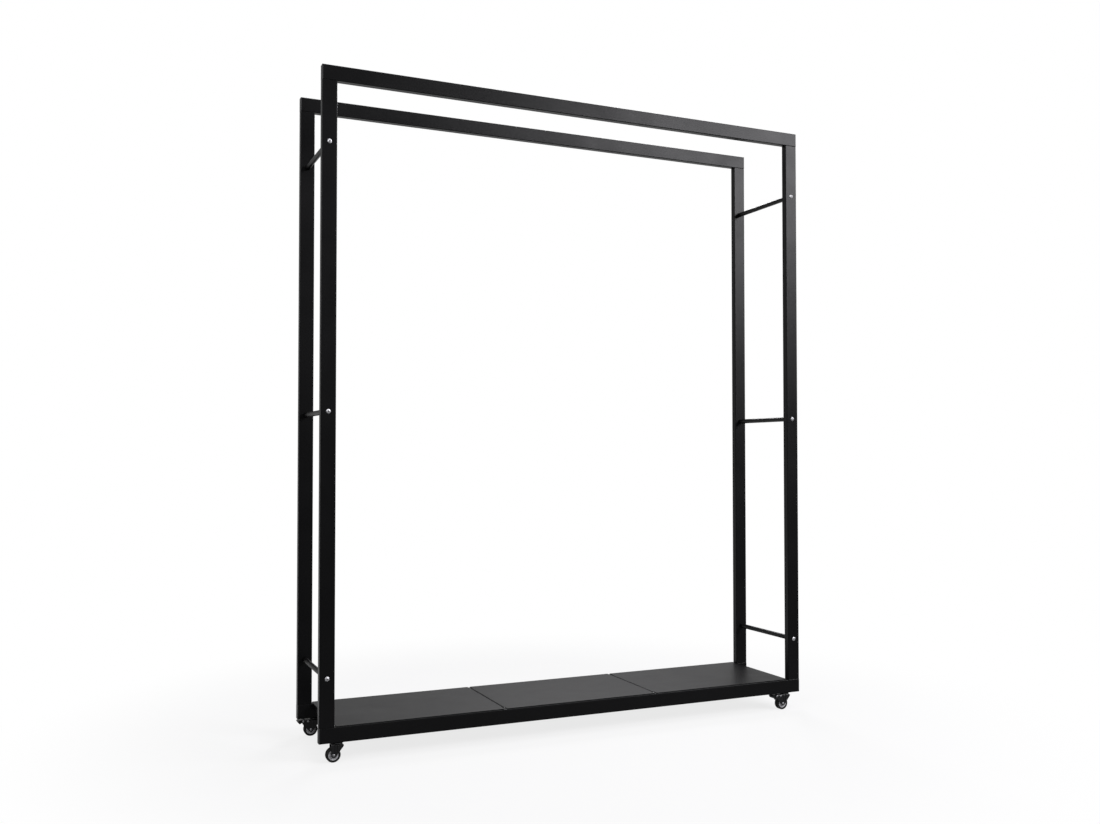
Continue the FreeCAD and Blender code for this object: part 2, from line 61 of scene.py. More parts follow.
MM = 0.001
ACROSS = Vector((1, 0, 0))
FRONT = Vector((0, -1, 0))
BACK = Vector((0, 1, 0))
UP = Vector((0, 0, 1))
DOWN = Vector((0, 0, -1))
WHITE = (1.0, 1.0, 1.0, 1.0)
FLOOR_COLOUR = (0.66, 0.66, 0.66, 1.0)
LAMP_COLOUR = (0.975, 0.965, 1.0)
BOLT_RADIUS = 3.0 * MM
SCREW_RADIUS = 2.0 * MM
SCREW_LENGTH = 10.0 * MM
SCREW_INSET = 25.0 * MM
SCREW_SOCKET_DEPTH = 1.2 * MM
SOCKET_EASE = 0.15 * MM
CAP_ROUNDING = 0.12 * MM
CORE_ROUNDING = 0.25 * MM

# Points nearer than this are one point, in a copy of a CAD mesh and in a finished piece.
COPY_GAP = 0.002 * MM
PIECE_GAP = 0.0001 * MM

# Soft boxes: name, place, the point that each faces, width, height and the setting that holds its power.
LAMPS = (
    ("key_light", (2.7, -2.9, 2.75), (0.3, -0.1, 1.2), 2.4, 1.5, "key_power"),
    ("fill_light", (-2.8, -2.4, 2.6), (-0.2, 0.0, 0.8), 2.0, 2.0, "fill_power"),
    ("top_light", (0.0, -0.3, 4.0), (0.0, 0.0, 0.0), 3.2, 2.4, "top_power"),
    ("back_light", (1.7, 3.0, 3.6), (0.0, 0.0, 0.9), 1.6, 1.5, "back_power"),
)


class RackFrameSettings(bpy.types.PropertyGroup):
    """Sizes of the tube frames, bars and floor."""

    corner_radius: bpy.props.FloatProperty(
        name="Tube corner radius",
        description="Radius of the long edges of the rectangular tube",
        default=2.1 * MM, unit="LENGTH",
    )
    corner_steps: bpy.props.IntProperty(
        name="Corner steps",
        description="Facets along one rounded tube edge",
        default=7,
    )
    tube_wall: bpy.props.FloatProperty(
        name="Tube wall",
        description="Thickness of the wall that the lower corner bolts clamp",
        default=1.5 * MM, unit="LENGTH",
    )
    access_radius: bpy.props.FloatProperty(
        name="Access hole radius",
        description="Radius of the holes below the corner bolts in the bottom rails",
        default=6.5 * MM, unit="LENGTH",
    )
    end_break: bpy.props.FloatProperty(
        name="End edge break",
        description="How far the cut ends of tubes and bars are eased, which shows as a seam",
        default=0.45 * MM, unit="LENGTH",
    )
    bar_steps: bpy.props.IntProperty(
        name="Bar steps",
        description="Facets along a quarter of a round bar",
        default=12,
    )
    sheet_rounding: bpy.props.FloatProperty(
        name="Sheet edge rounding",
        description="Rounding of the cut edges of the floor panels",
        default=0.35 * MM, unit="LENGTH",
    )


class RackFastenerSettings(bpy.types.PropertyGroup):
    """Sizes of the bolts and screws."""

    head_radius: bpy.props.FloatProperty(
        name="Bolt head radius",
        description="Radius of a button head",
        default=6.0 * MM, unit="LENGTH",
    )
    head_height: bpy.props.FloatProperty(
        name="Bolt head height",
        description="Height of a button head over its seat",
        default=3.3 * MM, unit="LENGTH",
    )
    head_rim: bpy.props.FloatProperty(
        name="Bolt head rim",
        description="Height of the straight rim below the dome",
        default=0.6 * MM, unit="LENGTH",
    )
    socket_flats: bpy.props.FloatProperty(
        name="Bolt socket",
        description="Size across the flats of the hexagon socket",
        default=4.0 * MM, unit="LENGTH",
    )
    socket_depth: bpy.props.FloatProperty(
        name="Bolt socket depth",
        description="Depth of the hexagon socket",
        default=1.9 * MM, unit="LENGTH",
    )
    screw_head_radius: bpy.props.FloatProperty(
        name="Screw head radius",
        description="Radius of a countersunk floor screw's head",
        default=3.8 * MM, unit="LENGTH",
    )
    screw_socket_flats: bpy.props.FloatProperty(
        name="Screw socket",
        description="Size across the flats of a floor screw's socket",
        default=2.5 * MM, unit="LENGTH",
    )


class RackCasterSettings(bpy.types.PropertyGroup):
    """Sizes of the dressed casters."""

    fork_width: bpy.props.FloatProperty(
        name="Fork width",
        description="Width over the legs of a fork, between the heads of its rivets",
        default=21.6 * MM, unit="LENGTH",
    )
    axle_radius: bpy.props.FloatProperty(
        name="Axle radius",
        description="Radius of a wheel axle's shank",
        default=2.5 * MM, unit="LENGTH",
    )
    pin_radius: bpy.props.FloatProperty(
        name="Pin radius",
        description="Radius of the shank of a brake pin or leg rivet",
        default=1.5 * MM, unit="LENGTH",
    )
    edge_rounding: bpy.props.FloatProperty(
        name="Pressed edge rounding",
        description="Rounding of the edges of the forks, stems and pedals",
        default=0.3 * MM, unit="LENGTH",
    )
    spin_steps: bpy.props.IntProperty(
        name="Wheel steps",
        description="Facets round a wheel",
        default=72,
    )
    sidewall_groove: bpy.props.FloatProperty(
        name="Sidewall groove",
        description="Depth of the moulded ring in the side of a tyre",
        default=0.25 * MM, unit="LENGTH",
    )


class RackFinishSettings(bpy.types.PropertyGroup):
    """Colours of the finishes."""

    paint: bpy.props.FloatVectorProperty(
        name="Powder coat",
        description="Colour of the satin black powder coat",
        default=(0.0022, 0.0022, 0.0024), subtype="COLOR",
    )
    enamel: bpy.props.FloatVectorProperty(
        name="Fork enamel",
        description="Colour of the black enamel on forks and pedals",
        default=(0.003, 0.003, 0.0032), subtype="COLOR",
    )
    zinc: bpy.props.FloatVectorProperty(
        name="Zinc",
        description="Colour of the bright zinc plating",
        default=(0.72, 0.725, 0.74), subtype="COLOR",
    )
    dull_zinc: bpy.props.FloatVectorProperty(
        name="Dull zinc",
        description="Colour of the tarnished zinc on axles and rivets",
        default=(0.36, 0.363, 0.37), subtype="COLOR",
    )
    blackened: bpy.props.FloatVectorProperty(
        name="Blackened steel",
        description="Colour of the blackened screws and caster stems",
        default=(0.022, 0.022, 0.024), subtype="COLOR",
    )
    plastic: bpy.props.FloatVectorProperty(
        name="Cap plastic",
        description="Colour of the moulded end caps",
        default=(0.009, 0.009, 0.0095), subtype="COLOR",
    )
    core: bpy.props.FloatVectorProperty(
        name="Wheel core",
        description="Colour of the moulded wheel cores",
        default=(0.46, 0.46, 0.47), subtype="COLOR",
    )
    rubber: bpy.props.FloatVectorProperty(
        name="Tyre rubber",
        description="Colour of the tyres",
        default=(0.006, 0.006, 0.006), subtype="COLOR",
    )


class RackStageSettings(bpy.types.PropertyGroup):
    """Floor, light and camera."""

    floor_radius: bpy.props.FloatProperty(
        name="Floor radius",
        description="Radius of the pale floor",
        default=1.8, unit="LENGTH",
    )
    floor_white: bpy.props.FloatProperty(
        name="White of the floor",
        description="How much of the plain white floor covers its lit colour close to the rack",
        default=0.8, subtype="FACTOR",
    )
    key_power: bpy.props.FloatProperty(
        name="Key light",
        description="Power of the large soft box at the right in front",
        default=168.0, unit="POWER",
    )
    fill_power: bpy.props.FloatProperty(
        name="Fill light",
        description="Power of the soft box at the left in front",
        default=44.0, unit="POWER",
    )
    top_power: bpy.props.FloatProperty(
        name="Top light",
        description="Power of the soft box above the rack",
        default=66.0, unit="POWER",
    )
    back_power: bpy.props.FloatProperty(
        name="Back light",
        description="Power of the soft box at the right behind the rack",
        default=90.0, unit="POWER",
    )
    room_level: bpy.props.FloatProperty(
        name="Room level",
        description="Strength of the even light of the room",
        default=0.12,
    )
    backdrop_share: bpy.props.FloatProperty(
        name="Backdrop in reflections",
        description="How much of the white backdrop behind the rack shows in reflections",
        default=0.4, subtype="FACTOR",
    )
    ground_share: bpy.props.FloatProperty(
        name="Ground in reflections",
        description="How much of the white ground behind the rack shows in reflections",
        default=0.85, subtype="FACTOR",
    )
    floor_share: bpy.props.FloatProperty(
        name="Floor in reflections",
        description="How much of the white floor in front of the rack shows in reflections",
        default=0.2, subtype="FACTOR",
    )
    lens: bpy.props.FloatProperty(
        name="Lens",
        description="Focal length for a 36 mm wide picture",
        default=34.444, unit="CAMERA",
    )


def box_size(node):
    """Size of a CAD node's box."""
    low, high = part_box(node)
    return high - low


def box_middle(node):
    """Middle of a CAD node's box."""
    low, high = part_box(node)
    return (low + high) / 2


def in_scene(name, data):
    """New object at the origin of the scene."""
    item = bpy.data.objects.new(name, data)
    bpy.context.scene.collection.objects.link(item)
    return item


def as_mesh(name, form):
    """Mesh from a bmesh, which is freed."""
    mesh = bpy.data.meshes.new(name)
    form.to_mesh(mesh)
    form.free()
    return mesh


def new_sockets(tree, way, *sockets):
    """Sockets on the outside of a node tree, from pairs of a name and a type."""
    for name, kind in sockets:
        tree.interface.new_socket(name=name, in_out=way, socket_type="NodeSocket" + kind)


def placed_node(tree, kind, **values):
    """New node with some of its properties set."""
    node = tree.nodes.new(kind)
    for key, value in values.items():
        setattr(node, key, value)
    return node


def filled(node, values):
    """Node with the values of some of its inputs set by name."""
    for name, value in values.items():
        node.inputs[name].default_value = value
    return node


def typed_socket(sockets, name, kind):
    """The socket with a name and a type, on a node that has several of that name."""
    return [socket for socket in sockets if socket.name == name and socket.type == kind][0]


def wired(tree, *links):
    """Links nodes, from rows of a node, its output, the node that follows and its input."""
    for source, output, target, socket in links:
        tree.links.new(source.outputs[output], target.inputs[socket])


def maths(tree, operation, *values):
    """Output of a Math node whose inputs are outputs of other nodes or plain numbers."""
    node = placed_node(tree, "ShaderNodeMath", operation=operation)
    for socket, value in zip(node.inputs, values):
        if isinstance(value, bpy.types.NodeSocket):
            tree.links.new(value, socket)
        else:
            socket.default_value = value
    return node.outputs["Value"]


def smooth_range(tree, value, start, end, low, high):
    """Output that goes smoothly from low to high while a value goes from start to end."""
    node = placed_node(tree, "ShaderNodeMapRange", interpolation_type="SMOOTHSTEP")
    filled(node, {"From Min": start, "From Max": end, "To Min": low, "To Max": high})
    tree.links.new(value, node.inputs["Value"])
    return node.outputs["Result"]


def seen_rays(tree):
    """Two outputs: one is 1 for camera rays, the other for glossy and transmission rays."""
    path = placed_node(tree, "ShaderNodeLightPath")
    shiny = maths(tree, "MAXIMUM", path.outputs["Is Glossy Ray"], path.outputs["Is Transmission Ray"])
    return path.outputs["Is Camera Ray"], shiny


def mixed_surface(tree, factor, first, second, output):
    """Puts out a mix of two shaders."""
    mixed = placed_node(tree, "ShaderNodeMixShader")
    tree.links.new(factor, mixed.inputs["Fac"])
    surface = tree.nodes[output]
    wired(tree, (first, 0, mixed, 1), (second, 0, mixed, 2), (mixed, "Shader", surface, "Surface"))


def start_tree(name, *inputs):
    """New Geometry Nodes tree that is given a mesh, inputs of its own and a material."""
    tree = bpy.data.node_groups.new(name, "GeometryNodeTree")
    new_sockets(tree, "INPUT", ("Geometry", "Geometry"), *inputs, ("Material", "Material"))
    new_sockets(tree, "OUTPUT", ("Geometry", "Geometry"))
    return tree, placed_node(tree, "NodeGroupInput")


def end_tree(tree, given, last, output):
    """Ends a Geometry Nodes tree with real meshes in the material that it is given."""
    realized = placed_node(tree, "GeometryNodeRealizeInstances")
    coated = placed_node(tree, "GeometryNodeSetMaterial")
    result = placed_node(tree, "NodeGroupOutput")
    wired(
        tree,
        (last, output, realized, "Geometry"),
        (realized, "Geometry", coated, "Geometry"),
        (given, "Material", coated, "Material"),
        (coated, "Geometry", result, "Geometry"),
    )


def tube_tree():
    """Geometry Nodes that sweep a rounded rectangle along a line of points."""
    tree = bpy.data.node_groups.get("tube_along_line")
    if tree:
        return tree
    tree, given = start_tree(
        "tube_along_line",
        ("Face", "Float"),
        ("Depth", "Float"),
        ("Corner Radius", "Float"),
        ("Corner Steps", "Int"),
        ("Face Direction", "Vector"),
    )
    section = placed_node(tree, "GeometryNodeCurvePrimitiveQuadrilateral")
    rounded = filled(placed_node(tree, "GeometryNodeFilletCurve", mode="POLY"), {"Limit Radius": True})
    line = placed_node(tree, "GeometryNodeMeshToCurve")
    aimed = placed_node(tree, "GeometryNodeSetCurveNormal", mode="FREE")
    girth = placed_node(tree, "GeometryNodeInputNamedAttribute", data_type="FLOAT")
    filled(girth, {"Name": "girth"})
    swept = filled(placed_node(tree, "GeometryNodeCurveToMesh"), {"Fill Caps": True})
    wired(
        tree,
        (given, "Face", section, "Width"),
        (given, "Depth", section, "Height"),
        (section, "Curve", rounded, "Curve"),
        (given, "Corner Radius", rounded, "Radius"),
        (given, "Corner Steps", rounded, "Count"),
        (given, "Geometry", line, "Mesh"),
        (line, "Curve", aimed, "Curve"),
        (given, "Face Direction", aimed, "Normal"),
        (aimed, "Curve", swept, "Curve"),
        (rounded, "Curve", swept, "Profile Curve"),
        (girth, "Attribute", swept, "Scale"),
    )
    end_tree(tree, given, swept, "Mesh")
    return tree


def fastener_tree():
    """Geometry Nodes that put a fastener on each of some points, facing the point's own way."""
    tree = bpy.data.node_groups.get("fasteners_on_points")
    if tree:
        return tree
    tree, given = start_tree(
        "fasteners_on_points",
        ("Fastener", "Object"),
        ("Turn Spread", "Float"),
        ("Seed", "Int"),
    )
    master = placed_node(tree, "GeometryNodeObjectInfo", transform_space="ORIGINAL")
    facing = placed_node(tree, "GeometryNodeInputNamedAttribute", data_type="FLOAT_VECTOR")
    filled(facing, {"Name": "facing"})
    aimed = placed_node(tree, "FunctionNodeAlignRotationToVector", axis="Z")
    spread = placed_node(tree, "FunctionNodeRandomValue", data_type="FLOAT")
    turn = placed_node(tree, "ShaderNodeCombineXYZ")
    as_turn = placed_node(tree, "FunctionNodeEulerToRotation")
    tightened = placed_node(tree, "FunctionNodeRotateRotation", rotation_space="LOCAL")
    spots = placed_node(tree, "GeometryNodeMeshToPoints")
    scattered = placed_node(tree, "GeometryNodeInstanceOnPoints")
    tree.links.new(given.outputs["Turn Spread"], typed_socket(spread.inputs, "Max", "VALUE"))
    tree.links.new(typed_socket(spread.outputs, "Value", "VALUE"), turn.inputs["Z"])
    wired(
        tree,
        (given, "Geometry", spots, "Mesh"),
        (given, "Fastener", master, "Object"),
        (given, "Seed", spread, "Seed"),
        (facing, "Attribute", aimed, "Vector"),
        (turn, "Vector", as_turn, "Euler"),
        (aimed, "Rotation", tightened, "Rotation"),
        (as_turn, "Rotation", tightened, "Rotate By"),
        (spots, "Points", scattered, "Points"),
        (master, "Geometry", scattered, "Instance"),
        (tightened, "Rotation", scattered, "Rotation"),
    )
    end_tree(tree, given, scattered, "Instances")
    return tree


def grown(name, mesh, tree, **inputs):
    """Object that a node tree makes from a mesh; inputs are named as its sockets, with _ for a space."""
    piece = in_scene(name, mesh)
    modifier = piece.modifiers.new("shape", "NODES")
    modifier.node_group = tree
    sockets = {item.name: item.identifier for item in tree.interface.items_tree if item.in_out == "INPUT"}
    for key, value in inputs.items():
        modifier[sockets[key.replace("_", " ")]] = value
    return piece


def flattened(piece):
    """Replaces a piece's mesh by what its modifiers make of it."""
    depsgraph = bpy.context.evaluated_depsgraph_get()
    mesh = bpy.data.meshes.new_from_object(piece.evaluated_get(depsgraph))
    piece.modifiers.clear()
    piece.data = mesh
    return mesh


def settled(piece, sharp=40.0):
    """Makes a piece a plain mesh with outward normals, shaded smooth below a sharp angle in degrees."""
    mesh = flattened(piece)
    form = bmesh.new()
    form.from_mesh(mesh)
    bmesh.ops.remove_doubles(form, verts=form.verts, dist=PIECE_GAP)
    bmesh.ops.recalc_face_normals(form, faces=form.faces)
    form.to_mesh(mesh)
    form.free()
    mesh.shade_smooth()
    mesh.set_sharp_from_angle(angle=math.radians(sharp))
    evened = piece.modifiers.new("even shading", "WEIGHTED_NORMAL")
    evened.keep_sharp = True
    flattened(piece).name = piece.name
    return piece


def coat(piece, finish):
    """Gives a piece or a CAD node its one material."""
    piece.data.materials.clear()
    piece.data.materials.append(bpy.data.materials[finish])


def dressed(piece, node, body):
    """Lets a plain mesh stand for a CAD node, which is hidden, and move with a body."""
    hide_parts(node)
    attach(piece, body)


def finished(piece, node, body, finish, sharp=40.0):
    """Coats a piece, makes it a plain mesh and dresses a CAD node with it."""
    coat(piece, finish)
    dressed(settled(piece, sharp), node, body)


def removed(master):
    """Takes a master object out of the scene once what it made is a plain mesh."""
    mesh = master.data
    bpy.data.objects.remove(master)
    bpy.data.meshes.remove(mesh)


def line_mesh(name, start, end, ease, girth):
    """Line of points from start to end whose girth narrows where the ends are eased."""
    along = (end - start).normalized()
    length = (end - start).length
    # The curve of an eased end has one more point at this share of it.
    bend = 0.3
    offsets = [0.0, ease * bend, ease]
    offsets = offsets + [length - offset for offset in reversed(offsets)]
    widths = [1 - girth, 1 - girth * bend, 1]
    widths = widths + widths[::-1]
    edges = [(index, index + 1) for index in range(len(offsets) - 1)]
    mesh = bpy.data.meshes.new(name)
    mesh.from_pydata([start + along * offset for offset in offsets], edges, [])
    mesh.attributes.new("girth", "FLOAT", "POINT").data.foreach_set("value", widths)
    return mesh


def points_mesh(name, places):
    """Points with the direction that each faces, from pairs of a place and a direction."""
    mesh = bpy.data.meshes.new(name)
    mesh.from_pydata([place for place, facing in places], [], [])
    flat = [number for place, facing in places for number in facing]
    mesh.attributes.new("facing", "FLOAT_VECTOR", "POINT").data.foreach_set("vector", flat)
    return mesh


def lofted(name, rings, closed=False, painted_shade_rings=0):
    """Object with faces between rings of points: the end rings are filled, or joined if closed.

    The last rings may be marked for painted shade, which the finishes show as a darker colour inside a
    socket.
    """
    form = bmesh.new()
    rows = [[form.verts.new(point) for point in ring] for ring in rings]
    count = len(rows[0])
    pairs = list(zip(rows, rows[1:]))
    if closed:
        pairs.append((rows[-1], rows[0]))
    for lower, upper in pairs:
        for index in range(count):
            after = (index + 1) % count
            form.faces.new((lower[index], lower[after], upper[after], upper[index]))
    if not closed:
        form.faces.new(rows[0][::-1])
        form.faces.new(rows[-1])
    mesh = as_mesh(name, form)
    # Painted shade: the last rings are marked so that the finishes colour them dark, in place of the shade
    # inside a socket.
    shade = [0.0] * (count * (len(rings) - painted_shade_rings)) + [1.0] * (count * painted_shade_rings)
    mesh.attributes.new("recess", "FLOAT", "POINT").data.foreach_set("value", shade)
    return in_scene(name, mesh)


def circle_ring(radius, height, steps):
    """Ring of points round Z."""
    turns = [2 * math.pi * index / steps for index in range(steps)]
    return [Vector((radius * math.cos(turn), radius * math.sin(turn), height)) for turn in turns]


def hexagon_ring(flats, height, steps):
    """Ring of points on a hexagon round Z, in step with a circle's points."""
    ring = []
    for index in range(steps):
        turn = 2 * math.pi * index / steps
        reach = flats / 2 / math.cos(turn % (math.pi / 3) - math.pi / 6)
        ring.append(Vector((reach * math.cos(turn), reach * math.sin(turn), height)))
    return ring


def arc_points(centre, radius, start, end, steps):
    """Points of an arc in a section, from a start to an end angle in degrees."""
    angles = [math.radians(start + (end - start) * index / steps) for index in range(steps + 1)]
    return [(centre[0] + radius * math.cos(a), centre[1] + radius * math.sin(a)) for a in angles]


def dome_drop(radius, rise, at):
    """How far a dome of a radius and a rise lies below its top, at a distance from its axis."""
    ball = (radius ** 2 + rise ** 2) / (2 * rise)
    return ball - math.sqrt(ball ** 2 - at ** 2)


def head_height_at(settings, at):
    """Height of a bolt head over its seat, at a distance from its axis."""
    rise = settings.head_height - settings.head_rim
    return settings.head_height - dome_drop(settings.head_radius, rise, at)


def socket_mouth(flats):
    """Radius of the eased mouth of a hexagon socket."""
    return flats / math.sqrt(3) + SOCKET_EASE


def socket_rings(flats, top, depth, steps):
    """Rings of a hexagon socket below its mouth, with a slight draft and a drilled bottom."""
    draft = 0.99
    drill_radius = flats * 0.48
    point_radius = flats * 0.1
    point_depth = 0.35 * MM
    return [
        hexagon_ring(flats, top - SOCKET_EASE, steps),
        hexagon_ring(flats * draft, top - depth + SOCKET_EASE, steps),
        circle_ring(drill_radius, top - depth, steps),
        circle_ring(point_radius, top - depth - point_depth, steps),
    ]


def bolt_master(settings, length):
    """Button-head bolt along Z with its seat at the origin."""
    steps = 48
    dome_steps = 10
    chamfer = 0.6 * MM
    seat_inset = 0.25 * MM
    seat_rise = 0.2 * MM
    shank = BOLT_RADIUS
    head = settings.head_radius
    mouth = socket_mouth(settings.socket_flats)
    outline = [(shank - chamfer, -length), (shank, -length + chamfer), (shank, 0.0)]
    outline += [(head - seat_inset, 0.0), (head, seat_rise), (head, settings.head_rim)]
    for index in range(1, dome_steps + 1):
        at = head - (head - mouth) * index / dome_steps
        outline.append((at, head_height_at(settings, at)))
    top = head_height_at(settings, mouth)
    depth = settings.socket_depth - (settings.head_height - top)
    rings = [circle_ring(radius, height, steps) for radius, height in outline]
    socket = socket_rings(settings.socket_flats, top, depth, steps)
    # The socket's rings are marked for painted shade.
    return lofted("bolt_master", rings + socket, painted_shade_rings=len(socket))


def screw_master(settings):
    """Countersunk screw along Z with its flat top at the origin."""
    steps = 36
    chamfer = 0.5 * MM
    ease = 0.12 * MM
    shank = SCREW_RADIUS
    head = settings.screw_head_radius
    length = SCREW_LENGTH
    outline = [(shank - chamfer, -length), (shank, -length + chamfer), (shank, shank - head)]
    outline += [(head, -ease), (head - ease, 0.0), (socket_mouth(settings.screw_socket_flats), 0.0)]
    rings = [circle_ring(radius, height, steps) for radius, height in outline]
    socket = socket_rings(settings.screw_socket_flats, 0.0, SCREW_SOCKET_DEPTH, steps)
    # The socket's rings are marked for painted shade.
    return lofted("screw_master", rings + socket, painted_shade_rings=len(socket))


def spun(name, section, centre, steps, closed=True):
    """Object made by turning a section of (radius, offset) points round an axle along Y through a centre."""
    rings = []
    for radius, offset in section:
        ring = circle_ring(radius, 0.0, steps)
        rings.append([Vector((point.x, offset, point.y)) + centre for point in ring])
    return lofted(name, rings, closed)


def rivet(name, node, grip, shank, steps):
    """Rivet along Y in the place of a CAD rivet: a shank between two domed heads."""
    dome_steps = 10
    size = box_size(node)
    head = size.x / 2
    rise = (size.y - grip) / 2
    radii = [head * math.cos(math.pi / 2 * index / dome_steps) for index in range(dome_steps)]
    dome = [(at, size.y / 2 - dome_drop(head, rise, at)) for at in radii]
    section = [(at, -offset) for at, offset in reversed(dome)]
    section += [(shank, -grip / 2), (shank, grip / 2)] + dome
    return spun(name, section, box_middle(node), steps, closed=False)


def rounded_copy(name, node, rounding):
    """Copy of a CAD node's mesh, joined up, with its edges rounded."""
    flat_angle = math.radians(0.4)
    form = bmesh.new()
    form.from_mesh(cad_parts[node].data)
    bmesh.ops.remove_doubles(form, verts=form.verts, dist=COPY_GAP)
    bmesh.ops.dissolve_limit(form, angle_limit=flat_angle, verts=form.verts, edges=form.edges)
    piece = in_scene(name, as_mesh(name, form))
    edge = piece.modifiers.new("rounded edges", "BEVEL")
    edge.width = rounding
    edge.segments = 2
    edge.limit_method = "ANGLE"
    edge.angle_limit = math.radians(40)
    return piece


def swept_tube(node, along, facing, face, depth, corner_radius, corner_steps, drill=None):
    """Tube with eased ends in the place of a CAD tube, with holes where a drill is given."""
    ease = bpy.context.scene.rack_frame.end_break
    middle = box_middle(node)
    half = along * (box_size(node).dot(along) / 2)
    piece = grown(
        node + "_tube",
        line_mesh(node, middle - half, middle + half, ease, 2 * ease / face),
        tube_tree(),
        Face=face,
        Depth=depth,
        Corner_Radius=corner_radius,
        Corner_Steps=corner_steps,
        Face_Direction=facing,
        Material=bpy.data.materials["powder_coat"],
    )
    if drill:
        holes = piece.modifiers.new("holes", "BOOLEAN")
        holes.object = drill
    dressed(settled(piece), node, "frame")


def rectangular_tube(settings, node, along, facing, drill=None):
    """Rectangular tube along one direction whose broad side lies along another."""
    size = box_size(node)
    swept_tube(
        node, along, facing, face=size.dot(facing), depth=size.y,
        corner_radius=settings.corner_radius, corner_steps=settings.corner_steps, drill=drill,
    )


def fastener_group(name, node, places, master, finish, seed):
    """Like fasteners made from a master, each turned by chance, in the place of a CAD node."""
    piece = grown(
        name,
        points_mesh(node, places),
        fastener_tree(),
        Fastener=master,
        Turn_Spread=math.pi / 3,
        Seed=seed,
        Material=bpy.data.materials[finish],
    )
    settled(piece, sharp=32.0)
    removed(master)
    dressed(piece, node, "frame")


def scaled(colour, by):
    """Colour made lighter or darker, with full alpha."""
    return (*[min(1.0, channel * by) for channel in colour], 1.0)


def grain_group():
    """Shader group for a fine grain with broad patches: a colour, a roughness and a height."""
    tree = bpy.data.node_groups.new("fine_grain", "ShaderNodeTree")
    new_sockets(
        tree,
        "INPUT",
        ("Vector", "Vector"),
        ("Colour", "Color"),
        ("Patch Colour", "Color"),
        ("Grain Scale", "Float"),
        ("Patch Scale", "Float"),
        ("Smoothest", "Float"),
        ("Roughest", "Float"),
    )
    new_sockets(tree, "OUTPUT", ("Colour", "Color"), ("Roughness", "Float"), ("Height", "Float"))
    grain_share = 0.4
    given = placed_node(tree, "NodeGroupInput")
    result = placed_node(tree, "NodeGroupOutput")
    grain = filled(placed_node(tree, "ShaderNodeTexNoise"), {"Detail": 2.5})
    patch = filled(placed_node(tree, "ShaderNodeTexNoise"), {"Detail": 4.0, "Distortion": 0.6})
    blend = maths(tree, "MULTIPLY_ADD", grain.outputs["Fac"], grain_share, patch.outputs["Fac"])
    spread = filled(placed_node(tree, "ShaderNodeMapRange"), {"From Min": 0.45, "From Max": 0.95})
    tint = placed_node(tree, "ShaderNodeMix", data_type="RGBA")
    tree.links.new(blend, spread.inputs["Value"])
    tree.links.new(given.outputs["Colour"], typed_socket(tint.inputs, "A", "RGBA"))
    tree.links.new(given.outputs["Patch Colour"], typed_socket(tint.inputs, "B", "RGBA"))
    tree.links.new(typed_socket(tint.outputs, "Result", "RGBA"), result.inputs["Colour"])
    wired(
        tree,
        (given, "Vector", grain, "Vector"),
        (given, "Vector", patch, "Vector"),
        (given, "Grain Scale", grain, "Scale"),
        (given, "Patch Scale", patch, "Scale"),
        (given, "Smoothest", spread, "To Min"),
        (given, "Roughest", spread, "To Max"),
        (patch, "Fac", tint, "Factor"),
        (spread, "Result", result, "Roughness"),
        (grain, "Fac", result, "Height"),
    )


def finish_material(name, colour, patches, scales, roughness, relief, metallic=0.0, level=0.5):
    """Material whose colour, roughness and bump come from the fine grain group.

    Patches is a factor for the colour of its patches, scales are those of grain and patches, and relief
    is the height of the grain.
    """
    painted_shade_level = 0.2
    material = bpy.data.materials.new(name)
    material.use_nodes = True
    material.diffuse_color = scaled(colour, 1.0)
    tree = material.node_tree
    shader = filled(tree.nodes["Principled BSDF"], {"Metallic": metallic, "Specular IOR Level": level})
    where = placed_node(tree, "ShaderNodeTexCoord")
    group = placed_node(tree, "ShaderNodeGroup", node_tree=bpy.data.node_groups["fine_grain"])
    filled(group, {"Colour": scaled(colour, 1.0), "Patch Colour": scaled(colour, patches)})
    filled(group, {"Grain Scale": scales[0], "Patch Scale": scales[1]})
    filled(group, {"Smoothest": roughness[0], "Roughest": roughness[1]})
    bump = filled(placed_node(tree, "ShaderNodeBump"), {"Strength": 0.5, "Distance": relief})
    # Painted shade: marked rings take a darker copy of the colour, in place of the shade inside a socket.
    recess = placed_node(tree, "ShaderNodeAttribute", attribute_name="recess")
    shade = placed_node(tree, "ShaderNodeMix", data_type="RGBA")
    typed_socket(shade.inputs, "B", "RGBA").default_value = scaled(colour, painted_shade_level)
    tree.links.new(group.outputs["Colour"], typed_socket(shade.inputs, "A", "RGBA"))
    tree.links.new(typed_socket(shade.outputs, "Result", "RGBA"), shader.inputs["Base Color"])
    wired(
        tree,
        (where, "Object", group, "Vector"),
        (recess, "Fac", shade, "Factor"),
        (group, "Roughness", shader, "Roughness"),
        (group, "Height", bump, "Height"),
        (bump, "Normal", shader, "Normal"),
    )


